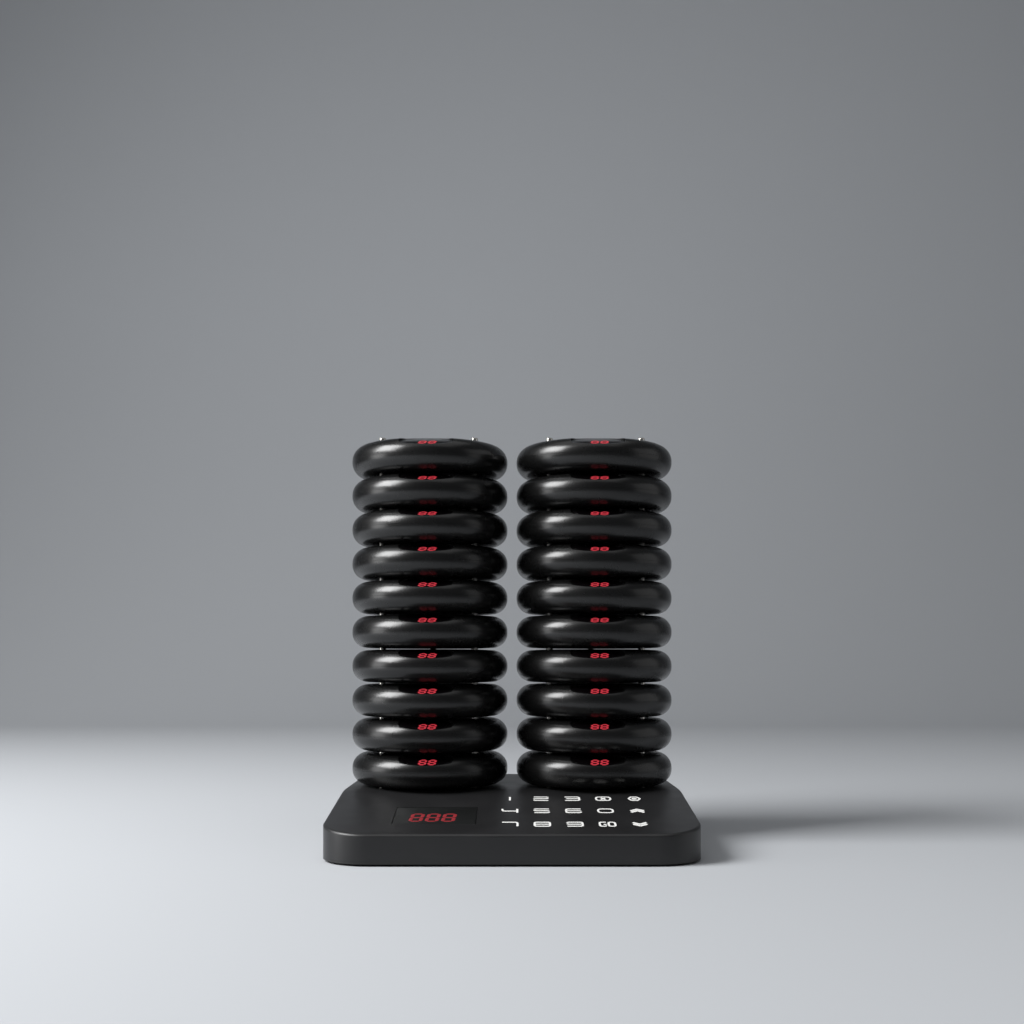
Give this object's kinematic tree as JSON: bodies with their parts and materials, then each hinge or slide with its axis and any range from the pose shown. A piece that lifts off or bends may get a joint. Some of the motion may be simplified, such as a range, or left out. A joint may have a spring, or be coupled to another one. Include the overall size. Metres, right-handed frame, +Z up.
{
  "type": "guest pager charging base with stacked pagers",
  "caption": "Counter base with a sloping touch panel and digit display that charges and calls two stacks of round guest pagers.",
  "frame": {"origin": "on the ground under the middle of the base", "axes": "+Z up, the sloping panel faces -Y, +X to the viewer's right"},
  "size_m": [0.202, 0.2068, 0.2405],
  "materials": {
    "base_plastic": "satin",
    "pager_plastic": "gloss",
    "pager_window": "gloss",
    "console_window": "satin",
    "display": "gloss",
    "contact_metal": "polished",
    "board": "satin",
    "battery": "satin",
    "motor": "satin",
    "antenna": "matt",
    "rubber": "matt",
    "steel": "zinc plated",
    "inlet": "satin",
    "switch_plastic": "satin"
  },
  "bodies": {
    "base": {"base_top_cover": "base_plastic", "base_bottom_cover": "base_plastic", "cover_screws": "steel", "rubber_feet": "rubber", "console_display_window": "console_window", "console_digit_display": "display", "control_board": "board", "touch_keypad_board": "board", "radio_antenna": "antenna", "charging_board": "board", "charging_contacts": "contact_metal", "power_jack": "inlet", "switch_body": "switch_plastic"},
    "rocker": {"switch_rocker": "switch_plastic"},
    "pager_left_01": {"pager_left_01_case": "pager_plastic", "pager_left_01_core": "contact_metal"},
    "pager_left_02": {"pager_left_02_case": "pager_plastic", "pager_left_02_core": "contact_metal"},
    "pager_left_03": {"pager_left_03_case": "pager_plastic", "pager_left_03_core": "contact_metal"},
    "pager_left_04": {"pager_left_04_case": "pager_plastic", "pager_left_04_core": "contact_metal"},
    "pager_left_05": {"pager_left_05_case": "pager_plastic", "pager_left_05_core": "contact_metal"},
    "pager_left_06": {"pager_left_06_case": "pager_plastic", "pager_left_06_core": "contact_metal"},
    "pager_left_07": {"pager_left_07_case": "pager_plastic", "pager_left_07_core": "contact_metal"},
    "pager_left_08": {"pager_left_08_case": "pager_plastic", "pager_left_08_core": "contact_metal"},
    "pager_left_09": {"pager_left_09_case": "pager_plastic", "pager_left_09_core": "contact_metal"},
    "pager_left_10": {"pager_left_10_upper_case": "pager_plastic", "pager_left_10_lower_case": "pager_plastic", "pager_left_10_display_window": "pager_window", "pager_left_10_circuit_board": "board", "pager_left_10_battery": "battery", "pager_left_10_vibration_motor": "motor", "pager_left_10_digit_display": "display", "pager_left_10_contact_studs": "contact_metal"},
    "pager_right_01": {"pager_right_01_case": "pager_plastic", "pager_right_01_core": "contact_metal"},
    "pager_right_02": {"pager_right_02_case": "pager_plastic", "pager_right_02_core": "contact_metal"},
    "pager_right_03": {"pager_right_03_case": "pager_plastic", "pager_right_03_core": "contact_metal"},
    "pager_right_04": {"pager_right_04_case": "pager_plastic", "pager_right_04_core": "contact_metal"},
    "pager_right_05": {"pager_right_05_case": "pager_plastic", "pager_right_05_core": "contact_metal"},
    "pager_right_06": {"pager_right_06_case": "pager_plastic", "pager_right_06_core": "contact_metal"},
    "pager_right_07": {"pager_right_07_case": "pager_plastic", "pager_right_07_core": "contact_metal"},
    "pager_right_08": {"pager_right_08_case": "pager_plastic", "pager_right_08_core": "contact_metal"},
    "pager_right_09": {"pager_right_09_case": "pager_plastic", "pager_right_09_core": "contact_metal"},
    "pager_right_10": {"pager_right_10_case": "pager_plastic", "pager_right_10_core": "contact_metal"}
  },
  "joints": [
    {"name": "switch_tilt", "type": "hinge", "parent": "base", "child": "rocker", "pos_m": [-0.012, 0.0979, 0.016], "axis": [0, 0, 1], "range_deg": [0, 20]},
    {"name": "lift_left_01", "type": "slide", "parent": "base", "child": "pager_left_01", "axis": [0, 0, 1], "range_m": [0, 0.03]},
    {"name": "lift_left_02", "type": "slide", "parent": "pager_left_01", "child": "pager_left_02", "axis": [0, 0, 1], "range_m": [0, 0.03]},
    {"name": "lift_left_03", "type": "slide", "parent": "pager_left_02", "child": "pager_left_03", "axis": [0, 0, 1], "range_m": [0, 0.03]},
    {"name": "lift_left_04", "type": "slide", "parent": "pager_left_03", "child": "pager_left_04", "axis": [0, 0, 1], "range_m": [0, 0.03]},
    {"name": "lift_left_05", "type": "slide", "parent": "pager_left_04", "child": "pager_left_05", "axis": [0, 0, 1], "range_m": [0, 0.03]},
    {"name": "lift_left_06", "type": "slide", "parent": "pager_left_05", "child": "pager_left_06", "axis": [0, 0, 1], "range_m": [0, 0.03]},
    {"name": "lift_left_07", "type": "slide", "parent": "pager_left_06", "child": "pager_left_07", "axis": [0, 0, 1], "range_m": [0, 0.03]},
    {"name": "lift_left_08", "type": "slide", "parent": "pager_left_07", "child": "pager_left_08", "axis": [0, 0, 1], "range_m": [0, 0.03]},
    {"name": "lift_left_09", "type": "slide", "parent": "pager_left_08", "child": "pager_left_09", "axis": [0, 0, 1], "range_m": [0, 0.03]},
    {"name": "lift_left_10", "type": "slide", "parent": "pager_left_09", "child": "pager_left_10", "axis": [0, 0, 1], "range_m": [0, 0.03]},
    {"name": "lift_right_01", "type": "slide", "parent": "base", "child": "pager_right_01", "axis": [0, 0, 1], "range_m": [0, 0.03]},
    {"name": "lift_right_02", "type": "slide", "parent": "pager_right_01", "child": "pager_right_02", "axis": [0, 0, 1], "range_m": [0, 0.03]},
    {"name": "lift_right_03", "type": "slide", "parent": "pager_right_02", "child": "pager_right_03", "axis": [0, 0, 1], "range_m": [0, 0.03]},
    {"name": "lift_right_04", "type": "slide", "parent": "pager_right_03", "child": "pager_right_04", "axis": [0, 0, 1], "range_m": [0, 0.03]},
    {"name": "lift_right_05", "type": "slide", "parent": "pager_right_04", "child": "pager_right_05", "axis": [0, 0, 1], "range_m": [0, 0.03]},
    {"name": "lift_right_06", "type": "slide", "parent": "pager_right_05", "child": "pager_right_06", "axis": [0, 0, 1], "range_m": [0, 0.03]},
    {"name": "lift_right_07", "type": "slide", "parent": "pager_right_06", "child": "pager_right_07", "axis": [0, 0, 1], "range_m": [0, 0.03]},
    {"name": "lift_right_08", "type": "slide", "parent": "pager_right_07", "child": "pager_right_08", "axis": [0, 0, 1], "range_m": [0, 0.03]},
    {"name": "lift_right_09", "type": "slide", "parent": "pager_right_08", "child": "pager_right_09", "axis": [0, 0, 1], "range_m": [0, 0.03]},
    {"name": "lift_right_10", "type": "slide", "parent": "pager_right_09", "child": "pager_right_10", "axis": [0, 0, 1], "range_m": [0, 0.03]}
  ]
}
